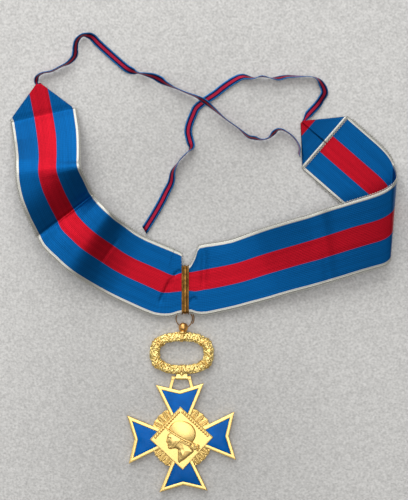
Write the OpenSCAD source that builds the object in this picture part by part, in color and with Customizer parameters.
// Commander's neck badge of an order: an enamelled cross on a wreath, hung from a
// ribbon that lies loosely curled on a surface. The origin is the centre of the
// cross's back plaque, on the surface. X runs to the right of the badge, Y from the
// cross up to the ribbon, and Z out of the surface.

/* [Cross] */
// Distance from the centre to the line of an arm's two tips
arm_reach = 31.1; // [26:0.1:34]
// Distance from the centre to the notch between an arm's tips
arm_notch = 27.5; // [22:0.1:28]
// Half the distance between an arm's two tips
arm_half = 13.7; // [11:0.1:15]
// Thickness of the arms
arm_t = 2.2; // [1.8:0.1:3]
// Width of the gilt border round the enamel
border_w = 1.8; // [1.2:0.1:2.4]
// Depth of the enamel in its cell
enamel_t = 1; // [0.6:0.1:1.2]
// Radius of the spray of leaves between the arms
leaf_r = 18.4; // [16:0.1:20]
// Side of the square plaque on the front
plaque_side = 26.1; // [22:0.1:28]
// Thickness of the front plaque
plaque_t = 0.9; // [0.7:0.1:1.4]
// Side of the square plaque on the back
back_side = 24; // [18:0.5:26]
// Thickness of the back plaque
back_t = 0.8; // [0.6:0.1:1.2]
// Height of the helmeted head above the plaque
head_h = 1.7; // [1:0.1:2.4]

/* [Hinge] */
// Distance from the centre of the cross to the hinge pin
hinge_y = 35.7; // [34.5:0.1:38]
// Diameter of the hinge pin
pin_d = 1; // [0.8:0.1:1.2]
// Clearance all round the pin in its knuckle
pin_gap = 0.05; // [0.03:0.01:0.08]
// Outer diameter of the knuckle and of the bail's eyes
knuckle_d = 2.2; // [2:0.1:2.6]
// Length of the knuckle
knuckle_len = 7; // [5:0.1:7.4]
// Clear distance between the bail's two legs at the pin
bail_inside = 8; // [7.8:0.1:9]
// Width of the bail's legs
bail_w = 1.5; // [1.2:0.1:2]
// Distance between the middles of the legs where they meet the arm
bail_foot = 12.5; // [11:0.1:15]

/* [Wreath] */
// Outer width of the wreath
wreath_w = 38.2; // [34:0.1:42]
// Outer height of the wreath
wreath_len = 24.7; // [22:0.1:28]
// Width of the wreath's rim
rim_w = 6.2; // [5:0.1:7]
// Height of the wreath above the surface
rim_h = 4.2; // [3.4:0.1:5]
// Depth of the leaf relief
leaf_relief = 0.5; // [0.2:0.05:0.7]
// Distance from the hinge pin to the wreath's lower edge
wreath_drop = 2.3; // [1.8:0.1:3]
// Sideways play of the wreath on its pin, as it lies
wreath_play = 0.3; // [0:0.05:0.4]
// Diameter of the ball on top of the wreath
ball_d = 5.4; // [5:0.1:6.4]
// Diameter of the hole through the ball
ball_hole = 2.5; // [2.3:0.1:2.8]

/* [Ring and slide] */
// Diameter of the jump ring, at the middle of its wire
ring_d = 10; // [9.6:0.1:11]
// Diameter of the ring's wire
ring_wire = 0.8; // [0.6:0.05:0.9]
// Height of the slide
slide_len = 29; // [27:0.1:32]
// Width of the slide
slide_w = 4; // [3.4:0.1:4.4]
// Thickness of the slide's bars
slide_wall = 0.7; // [0.5:0.05:0.9]
// Clear depth of the slide between its bars
slide_gap = 2.8; // [2.7:0.05:3.4]

/* [Neck ribbon] */
// Width of the neck ribbon
ribbon_w = 38; // [34:0.5:42]
// Thickness of the ribbon
ribbon_t = 1; // [0.9:0.05:1.1]
// Length of the left half, from the slide to its point
left_run = 162; // [154:1:168]
// Length of the right half, from the slide to the start of its roll
right_run = 113; // [105:1:120]
// Length of the end that comes back under, from the roll to its point
back_run = 60.5; // [50:0.5:70]
// Height of the humps in the ribbon
hump_h = 22; // [14:0.5:26]
// Width of the narrow ties
tie_w = 5; // [4:0.1:6]
// Thickness of the narrow ties
tie_t = 1; // [0.8:0.05:1.2]

/* [Hidden] */
$fn = 48;

// Small clearance between pieces that are seated on each other
seat = 0.05;
// Overlap where two shapes of one solid are joined
weld = 0.1;

// Colours
gilt = "goldenrod";
satin_gilt = "darkgoldenrod";
enamel_blue = "royalblue";
ribbon_blue = "steelblue";
tie_red = "firebrick";

// Heights in the cross
arm_z = back_t;
arm_top = arm_z + arm_t;
plaque_z = arm_top + seat;
hinge_z = arm_z + knuckle_d / 2;

// Places up the badge
wreath_mid = hinge_y + wreath_drop + wreath_len / 2;
wreath_top = hinge_y + wreath_drop + wreath_len;
ball_y = wreath_top + ball_d * 0.4;
ball_z = ball_d / 2;
hole_y = ball_y + ball_d * 0.13;
ring_y = hole_y + ring_d / 2 - ring_wire * 0.55;
ring_x = wreath_play * 3;
slide_x = wreath_play * 5;
slide_t = slide_gap + 2 * slide_wall;
slide_low = ring_y + ring_d / 2 - slide_wall - ring_wire * 1.8;
slide_fit = slide_gap * 0.5;
ribbon_z = slide_t - slide_wall - ribbon_t / 2 - slide_wall * 0.2;
ring_top_z = slide_wall + ring_wire;

// In the slide the ribbon is gathered to the slide's clear height. The red stripe's
// middle stays this far from the lower edge, and the upper edge takes up the rest.
held_low = ribbon_w * 0.45;
held_high = slide_len - 2 * slide_wall - 2 * slide_fit - held_low;
spine_start = [slide_x, slide_low + slide_wall + slide_fit + held_low];

function unit(a) = [cos(a), sin(a)];
function flat(p, z) = [p[0], p[1], z];
function mix(a, b, k) = a + (b - a) * k;

// Slope of a table's column at one row
function slope_at(tab, i, c) =
    let (a = max(i - 1, 0), b = min(i + 1, len(tab) - 1))
    (tab[b][c] - tab[a][c]) / (tab[b][0] - tab[a][0]);

// Row of a table that a share falls in
function row_of(tab, x) =
    max([for (i = [0 : len(tab) - 2]) if (i == 0 || x > tab[i][0]) i]);

// Smooth value of a table's column at a share
function smooth(tab, x, c) =
    let (
        i = row_of(tab, x),
        h = tab[i + 1][0] - tab[i][0],
        u = min(max((x - tab[i][0]) / h, 0), 1),
        a = slope_at(tab, i, c) * h,
        b = slope_at(tab, i + 1, c) * h
    )
    tab[i][c] * (2 * pow(u, 3) - 3 * u * u + 1) + a * (pow(u, 3) - 2 * u * u + u)
        + tab[i + 1][c] * (3 * u * u - 2 * pow(u, 3)) + b * (pow(u, 3) - u * u);

// Heading of the ribbon at a share of its run
function heading(tab, x) = lookup(x, [for (r = tab) [r[0], r[1]]]);

// Walk along the ribbon's red stripe: a list of [point, heading]
walk_steps = 240;
function walk(tab, run) = [
    for (
        k = 0, p = spine_start;
        k <= walk_steps;
        p = p + run / walk_steps * unit(heading(tab, (k + 0.5) / walk_steps)), k = k + 1
    )
    [p, heading(tab, k / walk_steps)]
];
function along(path, x) =
    let (f = x * walk_steps, i = min(floor(f), walk_steps - 1))
    [mix(path[i][0], path[i + 1][0], f - i), mix(path[i][1], path[i + 1][1], f - i)];

// Left half of the ribbon from the slide to its point. The lifts are shares of the
// hump height above the lie of the ribbon: a hump, a sharp valley and a second hump.
// [share of run, heading, lift of inner edge, lift of outer edge]
left_bends = [
    [0.00, 185.0, 0.00, 0.00],
    [0.03, 189.0, 0.00, 0.00],
    [0.055, 172.0, 0.01, 0.01],
    [0.08, 157.5, 0.01, 0.02],
    [0.18, 154.5, 0.06, 0.10],
    [0.23, 151.0, 0.20, 0.24],
    [0.30, 147.0, 0.48, 0.52],
    [0.34, 145.5, 0.56, 0.60],
    [0.40, 141.0, 0.44, 0.50],
    [0.45, 133.0, 0.24, 0.34],
    [0.48, 125.0, 0.13, 0.25],
    [0.53, 113.5, 0.30, 0.48],
    [0.60, 107.5, 0.56, 0.75],
    [0.66, 99.5, 0.71, 0.90],
    [0.70, 91.0, 0.73, 0.90],
    [0.74, 94.5, 0.57, 0.76],
    [0.80, 101.0, 0.26, 0.38],
    [0.85, 103.0, 0.04, 0.07],
    [0.88, 102.5, -0.05, -0.05],
    [0.90, 101.0, -0.06, -0.06],
    [1.00, 98.5, -0.06, -0.06]
];

// Right half from the slide to the start of its roll, tilting up at its upper edge
// [share of run, heading, lift of upper edge, lift of lower edge]
right_bends = [
    [0.00, 4.0, 0.00, 0.00],
    [0.08, 5.0, 0.00, 0.00],
    [0.14, 9.5, 0.01, 0.01],
    [0.20, 12.5, 0.03, 0.02],
    [0.30, 16.5, 0.06, 0.05],
    [0.42, 19.0, 0.15, 0.10],
    [0.50, 18.0, 0.29, 0.14],
    [0.60, 17.5, 0.47, 0.19],
    [0.70, 17.5, 0.65, 0.24],
    [0.80, 18.0, 0.79, 0.27],
    [0.90, 17.0, 0.89, 0.28],
    [1.00, 16.0, 0.91, 0.28]
];

// How far the ribbon has spread again from its gathered width in the slide to its full
// width, at distances from the middle of the slide in slide widths
// [distance, spread of the upper edge, spread of the lower edge]
left_spread = [
    [0.00, 0.00, 0.00],
    [0.62, 0.00, 0.00],
    [0.85, 0.14, 0.00],
    [1.35, 0.72, 0.20],
    [1.90, 1.00, 1.00]
];
right_spread = [
    [0.00, 0.00, 0.00],
    [0.72, 0.00, 0.00],
    [1.30, 0.24, 0.30],
    [1.75, 0.69, 0.60],
    [2.40, 0.97, 0.90],
    [3.00, 1.00, 1.00]
];
function spread(tab, dist, c) = lookup(dist / slide_w, [for (r = tab) [r[0], r[c]]]);

// Columns across the ribbon, from its lower and outer edge to its upper and inner edge
cols = 8;
function across(j, low, high) = mix(-low, high, j / cols);
half_w = ribbon_w / 2;

// Rest heights of the cloth
lie_z = ribbon_z;
end_z = ribbon_t / 2 + seat;
left_end_z = lie_z - 0.06 * hump_h;

// Point of the cloth's middle surface in a half that is walked from the slide
function half_point(tab, spr, path, run, x, j, side) =
    let (
        at = along(path, x),
        d = x * run,
        low = mix(held_low, half_w, spread(spr, d, 2)),
        high = mix(held_high, half_w, spread(spr, d, 1)),
        t = across(j, low, high),
        k = j / cols,
        lift = mix(smooth(tab, x, 3), smooth(tab, x, 2), k)
    )
    flat(at[0] + t * unit(at[1] + side), lie_z + hump_h * lift);

left_path = walk(left_bends, left_run);
right_path = walk(right_bends, right_run);

// Stations along the two halves, close together near the slide
near_slide = [0.4, 0.6, 0.75, 0.95, 1.2, 1.5, 1.8, 2.3, 3];
left_shares = concat(
    [for (d = near_slide) d * slide_w / left_run],
    [for (k = [1 : 36]) mix(3 * slide_w / left_run, 0.88, k / 36)]
);
right_shares = concat(
    [for (d = near_slide) d * slide_w / right_run],
    [for (k = [1 : 22]) mix(3 * slide_w / right_run, 1, k / 22)]
);

// Pointed end: each fibre stops on a line at 45 degrees, cut off to the tie's width
function short_of(t) = max(abs(t), tie_w / 2);
function left_tip_point(j, k) =
    let (
        a = half_point(left_bends, left_spread, left_path, left_run, 0.88, j, -90),
        end = along(left_path, 1),
        t = across(j, half_w, half_w),
        tip = end[0] + t * unit(end[1] - 90) - short_of(t) * unit(end[1])
    )
    mix(a, flat(tip, left_end_z), k);

// The roll: each fibre turns over about a slanting axis and comes back underneath
roll_turn = 123;
roll_lean = roll_turn / 2;
roll_advance = ribbon_w * 0.66;
roll_r = hump_h * 0.48;
roll_cone = 0.29;
roll_steps = 14;
front_end = along(right_path, 1);
front_heading = front_end[1];
back_heading = front_heading + roll_turn;
roll_axis = unit(front_heading + roll_lean);
roll_out = unit(front_heading + roll_lean - 90);
function roll_start(t) = front_end[0] + t * unit(front_heading + 90);
function advance(t) = roll_advance + 2 * t * pow(cos(roll_lean), 2) / sin(roll_lean);
function roll_radius(t) = roll_r + roll_cone * t;
function roll_top(j) = lie_z + hump_h * mix(right_bends[11][3], right_bends[11][2], j / cols);
function roll_point(j, phi) =
    let (
        t = across(j, half_w, half_w),
        a = advance(t),
        r = roll_radius(t),
        early = PI * r / (tan(roll_lean) * a),
        turn = phi / 180,
        share = early * turn + (1 - early) * (turn - sin(2 * phi) / (2 * PI)),
        p = roll_start(t) + a * share * roll_axis + r * sin(phi) * roll_out
    )
    flat(p, mix(end_z, roll_top(j), (1 + cos(phi)) / 2));

// The end that lies back under, seen from its back
back_steps = 6;
function back_point(j, k) =
    let (
        t = across(j, half_w, half_w),
        from = roll_start(t) + advance(t) * roll_axis,
        ahead = t * (sin(roll_turn) + 2 * pow(cos(roll_lean), 3) / sin(roll_lean)),
        rest = back_run - short_of(t) - ahead
    )
    flat(from + k * rest * unit(back_heading), end_z);

ribbon_rows = concat(
    [for (k = [4 : -1 : 1]) [for (j = [0 : cols]) left_tip_point(j, k / 4)]],
    [for (i = [len(left_shares) - 1 : -1 : 0])
        [for (j = [0 : cols])
            half_point(left_bends, left_spread, left_path, left_run, left_shares[i], j, -90)]],
    [[for (j = [0 : cols])
        half_point(left_bends, left_spread, left_path, left_run, 0, j, -90)]],
    [for (x = right_shares)
        [for (j = [0 : cols])
            half_point(right_bends, right_spread, right_path, right_run, x, j, 90)]],
    [for (i = [1 : roll_steps]) [for (j = [0 : cols]) roll_point(j, 180 * i / roll_steps)]],
    [for (k = [1 : back_steps]) [for (j = [0 : cols]) back_point(j, k / back_steps)]]
);

// A sheet of even thickness round a grid of middle points
function normal_at(g, i, j) =
    let (
        n = len(g) - 1,
        m = len(g[0]) - 1,
        u = g[min(i + 1, n)][j] - g[max(i - 1, 0)][j],
        v = g[i][min(j + 1, m)] - g[i][max(j - 1, 0)],
        c = cross(u, v)
    )
    c / norm(c);
module sheet(g, t) {
    n = len(g);
    m = len(g[0]);
    upper = [for (i = [0 : n - 1]) for (j = [0 : m - 1]) g[i][j] + normal_at(g, i, j) * t / 2];
    lower = [for (i = [0 : n - 1]) for (j = [0 : m - 1]) g[i][j] - normal_at(g, i, j) * t / 2];
    s = n * m;
    faces = concat(
        [for (i = [0 : n - 2]) for (j = [0 : m - 2])
            for (f = [[i * m + j, i * m + j + 1, (i + 1) * m + j + 1],
                      [i * m + j, (i + 1) * m + j + 1, (i + 1) * m + j]]) f],
        [for (i = [0 : n - 2]) for (j = [0 : m - 2])
            for (f = [[s + i * m + j, s + (i + 1) * m + j + 1, s + i * m + j + 1],
                      [s + i * m + j, s + (i + 1) * m + j, s + (i + 1) * m + j + 1]]) f],
        [for (i = [0 : n - 2]) for (f = edge_pair(i * m, (i + 1) * m, s)) f],
        [for (i = [0 : n - 2]) for (f = edge_pair((i + 2) * m - 1, (i + 1) * m - 1, s)) f],
        [for (j = [0 : m - 2]) for (f = edge_pair(j + 1, j, s)) f],
        [for (j = [0 : m - 2]) for (f = edge_pair((n - 1) * m + j, (n - 1) * m + j + 1, s)) f]
    );
    polyhedron(concat(upper, lower), faces);
}
function edge_pair(a, b, s) = [[a, b, s + b], [a, s + b, s + a]];

// Corner of the ribbon folded over to make the point: a triangle with a cut tip
module folded_corners() {
    h = ribbon_w / 2;
    c = tie_w / 2;
    polygon([[-h, h], [0, h], [h, h], [c, c], [-c, c]]);
}

module neck_ribbon() {
    color(ribbon_blue) {
        sheet(ribbon_rows, ribbon_t);
        left_end = along(left_path, 1);
        translate(flat(left_end[0], left_end_z - ribbon_t * 1.5 + weld))
            rotate(left_end[1] + 90)
                linear_extrude(ribbon_t)
                    folded_corners();
        translate(flat(back_tip, end_z + ribbon_t / 2 - weld))
            rotate(back_heading + 90)
                linear_extrude(ribbon_t)
                    folded_corners();
    }
}
back_tip = roll_start(0) + roll_advance * roll_axis + back_run * unit(back_heading);

// Narrow ties, laid on the surface. Flat stretches have a roll of 0, and where the
// tie stands on its edge the roll is 90.
// [x, y, height of the middle, roll]
left_tie_route = [
    [-84, 207, 1.2, 0], [-85, 209, 1.5, 35], [-84, 212, 2.4, 80], [-81, 214, 2.5, 90],
    [-76, 215, 2.5, 90], [-70, 218, 2.5, 90], [-66, 220, 2.4, 75], [-63, 223, 2.2, 60],
    [-62, 226, 2.0, 50], [-62, 229, 2.0, 55], [-61, 233, 2.3, 65], [-58, 236, 2.5, 80],
    [-55, 236, 2.4, 60], [-52, 235, 1.5, 25], [-48, 231, 0.8, 5], [-38, 222, 0.6, 0],
    [-32, 217, 0.8, 10], [-28, 215, 1.9, 50], [-25, 214, 2.5, 88], [-20, 213, 2.3, 70],
    [-16, 212, 1.9, 50], [-12, 210, 1.6, 35], [-9, 208, 2.2, 65], [-3, 205, 2.5, 88],
    [4, 202, 2.8, 88], [9, 200, 3.4, 80], [14, 197, 3.8, 60], [19, 193, 3.2, 75],
    [26, 187, 2.6, 90], [33, 182, 2.5, 90], [39, 177, 2.4, 75], [43, 176, 2.3, 70],
    [47, 175, 2.5, 88], [51, 176, 2.5, 85], [54, 179, 2.2, 60], [57, 181, 2.4, 80],
    [61, 180, 2.5, 90], [66, 176, 2.5, 90], [69, 171, 2.5, 86], [69, 167, 2.4, 80]
];
right_tie_route = [
    [70, 188, 0.7, 0], [75, 192, 0.7, 0], [80, 196, 0.7, 5], [82, 199, 1.0, 30],
    [84, 203, 1.2, 20], [82, 208, 1.4, 35], [79, 211, 2.3, 70], [74, 212, 2.4, 80],
    [68, 212, 2.3, 70], [62, 212, 2.2, 60], [57, 211, 2.0, 50], [53, 211, 2.4, 75],
    [47, 212, 2.5, 90], [42, 211, 2.3, 70], [36, 212, 1.4, 35], [31, 210, 0.8, 10],
    [25, 206, 0.7, 0], [20, 202, 0.7, 0], [14, 198, 0.7, 0], [9, 194, 0.7, 0],
    [7, 190, 0.7, 0], [5, 185, 0.7, 0], [4, 180, 0.7, 0], [5, 175, 0.7, 0],
    [6, 171, 1.5, 40], [4, 168, 2.5, 85], [0, 164, 2.5, 90], [-3, 160, 2.4, 75],
    [-5, 156, 2.0, 50], [-6, 150, 1.2, 25], [-9, 144, 0.8, 10], [-12, 138, 0.7, 0],
    [-16, 131, 0.7, 0], [-21, 123, 0.7, 0]
];

// Eight-sided flat section of a tie
tie_edge = 0.16;
tie_section = [
    for (s = [[1, 1], [-1, 1], [-1, -1], [1, -1]])
        for (k = (s[0] * s[1] > 0) ? [0, 1] : [1, 0])
            [s[0] * tie_w / 2 * (1 - k * tie_edge), s[1] * tie_t / 2 * (0.5 + k / 2)]
];
module tie(route) {
    n = len(route);
    s = len(tie_section);
    points = [
        for (i = [0 : n - 1])
            let (
                a = route[max(i - 1, 0)],
                b = route[min(i + 1, n - 1)],
                run = [b[0] - a[0], b[1] - a[1]],
                side = [-run[1], run[0], 0] / norm(run),
                r = route[i][3],
                wide = [side[0] * cos(r), side[1] * cos(r), sin(r)],
                thick = [-side[0] * sin(r), -side[1] * sin(r), cos(r)]
            )
            for (q = tie_section)
                [route[i][0], route[i][1], route[i][2]] + q[0] * wide + q[1] * thick
    ];
    faces = concat(
        [for (i = [0 : n - 2]) for (k = [0 : s - 1])
            let (a = i * s + k, b = i * s + (k + 1) % s)
            for (f = [[a, b, b + s], [a, b + s, a + s]]) f],
        [[for (k = [s - 1 : -1 : 0]) k]],
        [[for (k = [0 : s - 1]) (n - 1) * s + k]]
    );
    polyhedron(points, faces);
}
module tie_left() {
    color(tie_red) tie(left_tie_route);
}
module tie_right() {
    color(tie_red) tie(right_tie_route);
}

// Slide: a tall flat loop, open to both sides, with a groove down its front bar
module long_oval(length, thickness) {
    r = thickness / 2;
    translate([r, 0]) square([length - thickness, thickness]);
    for (x = [r, length - r]) translate([x, r]) circle(r);
}
groove_w = slide_w * 0.3;
groove_depth = slide_wall * 0.4;
module slide() {
    color(gilt)
        translate([slide_x, slide_low, 0])
            difference() {
                translate([-slide_w / 2, 0, 0])
                    rotate([90, 0, 90])
                        linear_extrude(slide_w)
                            difference() {
                                long_oval(slide_len, slide_t);
                                translate([slide_wall, slide_wall])
                                    long_oval(slide_len - 2 * slide_wall, slide_gap);
                            }
                translate([-groove_w / 2, slide_t / 2, slide_t - groove_depth])
                    cube([groove_w, slide_len - slide_t, groove_depth * 2]);
            }
}

// Jump ring, tilted from the slide down to the ball's hole
ring_low_z = ball_z;
ring_tilt = asin((ring_low_z - ring_top_z) / ring_d);
module jump_ring() {
    color(gilt)
        translate([ring_x, ring_y, (ring_low_z + ring_top_z) / 2])
            rotate([-ring_tilt, 0, 0])
                rotate_extrude()
                    translate([ring_d / 2, 0]) circle(ring_wire / 2);
}

// Wreath: an oval garland of leaves in relief, bound at four places, with a knot at
// its foot and a band at its head, where the ball and the knuckle are soldered on
wreath_steps = 120;
wreath_sides = 12;
wreath_power = 2.5;
leaf_pairs = 20;
wrap_angles = [38, 142, 218, 322];
wrap_half = 4;
knot_half = 5;
function power_of(v, p) = sign(v) * pow(abs(v), p);
function wreath_centre(a) = [
    (wreath_w - rim_w) / 2 * power_of(cos(a), 2 / wreath_power),
    (wreath_len - rim_w) / 2 * power_of(sin(a), 2 / wreath_power)
];
function near_angle(a, b) = abs((a - b + 540) % 360 - 180);
function wrapped(a) =
    max([for (w = wrap_angles) near_angle(a, w) < wrap_half ? 1 : 0,
        near_angle(a, 270) < knot_half ? 1 : 0, near_angle(a, 90) < knot_half ? 1 : 0]);
function relief(a, k) =
    wrapped(a) > 0 ? 0.4 : abs(sin(leaf_pairs * a / 2 + (k % 2) * 90)) - 0.5;
wreath_points = [
    for (i = [0 : wreath_steps - 1])
        let (
            a = 360 * i / wreath_steps,
            c = wreath_centre(a),
            u = wreath_centre(a + 1) - wreath_centre(a - 1),
            out = [u[1], -u[0]] / norm(u)
        )
        for (k = [0 : wreath_sides - 1])
            let (
                b = 360 * k / wreath_sides - 75,
                low = sin(b) < -0.6,
                bump = low ? 0 : leaf_relief * relief(a, k),
                r = rim_w / 2 - leaf_relief / 2 + bump,
                h = rim_h / 2 - leaf_relief / 2 + bump,
                z = low ? 0 : rim_h / 2 - leaf_relief / 4 + h * power_of(sin(b), 0.8)
            )
            flat(c + out * r * power_of(cos(b), 0.8), max(z, 0))
];
wreath_faces = [
    for (i = [0 : wreath_steps - 1]) for (k = [0 : wreath_sides - 1])
        let (
            n = (i + 1) % wreath_steps,
            m = (k + 1) % wreath_sides,
            a = i * wreath_sides + k,
            b = i * wreath_sides + m,
            c = n * wreath_sides + m,
            d = n * wreath_sides + k
        )
        for (f = [[a, b, c], [a, c, d]]) f
];
module wreath() {
    color(satin_gilt)
        translate([wreath_play, wreath_mid, 0])
            polyhedron(wreath_points, wreath_faces);
}

// Ball on top of the wreath, cut flat where it is soldered on, with the ring's hole
module ball() {
    color(satin_gilt)
        translate([wreath_play, 0, 0])
            difference() {
                translate([0, ball_y, ball_z])
                    rotate([0, 90, 0]) sphere(ball_d / 2);
                translate([-ball_d, wreath_top + seat - ball_d, 0])
                    cube([2 * ball_d, ball_d, ball_d]);
                translate([-ball_d, hole_y, ball_z])
                    rotate([0, 90, 0]) cylinder(d = ball_hole, h = 2 * ball_d);
            }
}

// Knuckle under the wreath, with its lug, that turns on the pin of the bail
lug_w = knuckle_len * 0.9;
lug_t = knuckle_d * 0.7;
module knuckle() {
    color(satin_gilt)
        translate([wreath_play, hinge_y, hinge_z])
            difference() {
                union() {
                    translate([-lug_w / 2, 0, -lug_t / 2])
                        cube([lug_w, wreath_drop - seat, lug_t]);
                    translate([-knuckle_len / 2, 0, 0])
                        rotate([0, 90, 0]) cylinder(d = knuckle_d, h = knuckle_len);
                }
                translate([-knuckle_len, 0, 0])
                    rotate([0, 90, 0]) cylinder(d = pin_d + 2 * pin_gap, h = 2 * knuckle_len);
            }
}

// Outline of one arm, pointing up, set in from the arm's own edges
function cross2(u, v) = u[0] * v[1] - u[1] * v[0];
function meet(p, u, q, v) = p + u * cross2(q - p, v) / cross2(u, v);
arm_slant = atan(arm_half / arm_reach);
notch_slant = atan((arm_reach - arm_notch) / arm_half);
function inset_tip(b) =
    meet([0, b / sin(arm_slant)], unit(90 - arm_slant),
        [0, arm_notch - b / cos(notch_slant)], unit(notch_slant));
function arm_outline(b, foot) =
    let (
        tip = inset_tip(b),
        root = [0, b / sin(arm_slant)],
        x = (foot - root[1]) * tan(arm_slant),
        notch = [0, arm_notch - b / cos(notch_slant)]
    )
    [[-x, foot], [x, foot], tip, notch, [-tip[0], tip[1]]];
arm_foot = border_w / sin(arm_slant) + 2;
arm_angles = [0, -90, 180, 90];

hub_r = plaque_side * 0.22;
module arms_outline() {
    circle(hub_r);
    for (a = arm_angles)
        rotate(a)
            polygon([[0, 0], [arm_half, arm_reach], [0, arm_notch], [-arm_half, arm_reach]]);
}
module cells_outline() {
    for (a = arm_angles) rotate(a) polygon(arm_outline(border_w, arm_foot));
}

// Spray of leaves in the corners between the arms
leaf_angles = [21, 45, 69];
leaf_w = 7;
leaf_from = 8;
leaf_t = arm_t * 0.75;
leaf_z = arm_z + arm_t * 0.12;
module leaf(length, width) {
    r = (length * length / 4 + width * width / 4) / width;
    intersection() {
        translate([length / 2, r - width / 2]) circle(r);
        translate([length / 2, width / 2 - r]) circle(r);
    }
}
module leaves_outline() {
    for (a = arm_angles) for (b = leaf_angles)
        rotate(a + b) translate([leaf_from, 0]) leaf(leaf_r - leaf_from, leaf_w);
    circle(leaf_r * 0.75);
}

// One leg of the bail, from the eye at the pin down to the arm
bail_t = knuckle_d * 0.45;
eye_x = (bail_inside + bail_w) / 2;
foot_x = bail_foot / 2 + bail_w * 0.3;
foot_y = mix(arm_notch, arm_reach, foot_x / arm_half) - border_w / 2;
module bail_leg() {
    translate([0, 0, hinge_z - bail_t / 2])
        linear_extrude(bail_t)
            polygon([
                [eye_x - bail_w / 2, hinge_y],
                [foot_x - bail_w / 2, foot_y],
                [foot_x + bail_w / 2, foot_y],
                [eye_x + bail_w / 2, hinge_y]
            ]);
    translate([eye_x - bail_w / 2, hinge_y, hinge_z])
        rotate([0, 90, 0]) cylinder(d = knuckle_d, h = bail_w);
}
module cross_body() {
    color(gilt) {
        difference() {
            union() {
                translate([0, 0, arm_z]) linear_extrude(arm_t) arms_outline();
                translate([0, 0, leaf_z]) linear_extrude(leaf_t) leaves_outline();
            }
            translate([0, 0, arm_top - enamel_t])
                linear_extrude(enamel_t * 2) cells_outline();
        }
        bail_leg();
        mirror([1, 0, 0]) bail_leg();
        translate([-eye_x, hinge_y, hinge_z])
            rotate([0, 90, 0]) cylinder(d = pin_d, h = 2 * eye_x);
    }
}

// Enamel in one arm's cell
module enamel(turn) {
    color(enamel_blue)
        rotate(turn)
            translate([0, 0, arm_top - enamel_t + seat])
                linear_extrude(enamel_t - seat)
                    polygon(arm_outline(border_w + seat, arm_foot + seat));
}
module enamel_top() {
    enamel(arm_angles[0]);
}
module enamel_right() {
    enamel(arm_angles[1]);
}
module enamel_bottom() {
    enamel(arm_angles[2]);
}
module enamel_left() {
    enamel(arm_angles[3]);
}

// Front plaque: a square set on its corner, with a bead border along its two upper
// edges and a helmeted head in profile
bead_count = 13;
bead_in = 1.5;
bead_r = 0.5;
module bead_border() {
    length = plaque_side - 4 * bead_in;
    for (side = [-1, 1])
        rotate(side * 45)
            for (k = [0 : bead_count - 1])
                translate([
                    -length / 2 + k * length / (bead_count - 1),
                    plaque_side / 2 - bead_in,
                    plaque_z + plaque_t
                ])
                    sphere(bead_r);
}

// Domed relief: a slice of a big ball cut to an outline
module domed(centre, width, height) {
    r = (width * width / 4 + height * height) / (2 * height);
    intersection() {
        translate([0, 0, plaque_z + plaque_t - weld])
            linear_extrude(height + 2 * weld) children();
        translate(flat(centre, plaque_z + plaque_t + height - r)) sphere(r);
    }
}

// Flat relief with an outline
module raised(height) {
    translate([0, 0, plaque_z + plaque_t - weld])
        linear_extrude(height + weld) children();
}

// Outlines of the head, in shares of the helmet's width: a bowl helmet with a brim, a
// face in profile to the left, a neck cut to a point, and a knot of hair
head_w = plaque_side * 0.6;
head_turn = -27;
brim_mid = [-0.1, 0.11] * head_w;
bowl_mid = [0.07, 0.17] * head_w;
knot_mid = brim_mid + [0.57, -0.42] * head_w;
module helmet_outline() {
    translate(brim_mid)
        rotate(head_turn) {
            intersection() {
                translate(bowl_mid) circle(head_w * 0.49);
                translate([-head_w, 0]) square([2 * head_w, head_w]);
            }
            translate([-head_w * 0.55, -head_w * 0.06]) square([head_w * 1.1, head_w * 0.09]);
        }
}
module face_outline() {
    translate(brim_mid)
        polygon(head_w * [
            [-0.42, 0.16], [-0.50, -0.02], [-0.47, -0.08], [-0.55, -0.20], [-0.46, -0.24],
            [-0.49, -0.31], [-0.45, -0.34], [-0.47, -0.40], [-0.40, -0.50], [-0.20, -0.46],
            [-0.10, -0.62], [-0.08, -0.98], [0.10, -0.90], [0.50, -0.58], [0.36, -0.34],
            [0.42, -0.20], [0.30, -0.06]
        ]);
}
module hair_outline() {
    translate(knot_mid) circle(head_w * 0.15);
}
module front_plaque() {
    color(satin_gilt) {
        translate([0, 0, plaque_z])
            linear_extrude(plaque_t)
                rotate(45) square(plaque_side, center = true);
        bead_border();
        raised(head_h * 0.5) face_outline();
        domed(brim_mid + bowl_mid, head_w * 1.3, head_h) helmet_outline();
        domed(knot_mid, head_w * 0.45, head_h * 0.6) hair_outline();
    }
}

// Back plaque: a plain square set on its corner, which the cross lies on
module back_plaque() {
    color(satin_gilt)
        linear_extrude(back_t - seat)
            rotate(45) square(back_side, center = true);
}

neck_ribbon();
tie_left();
tie_right();
slide();
jump_ring();
ball();
wreath();
knuckle();
cross_body();
enamel_top();
enamel_right();
enamel_bottom();
enamel_left();
front_plaque();
back_plaque();
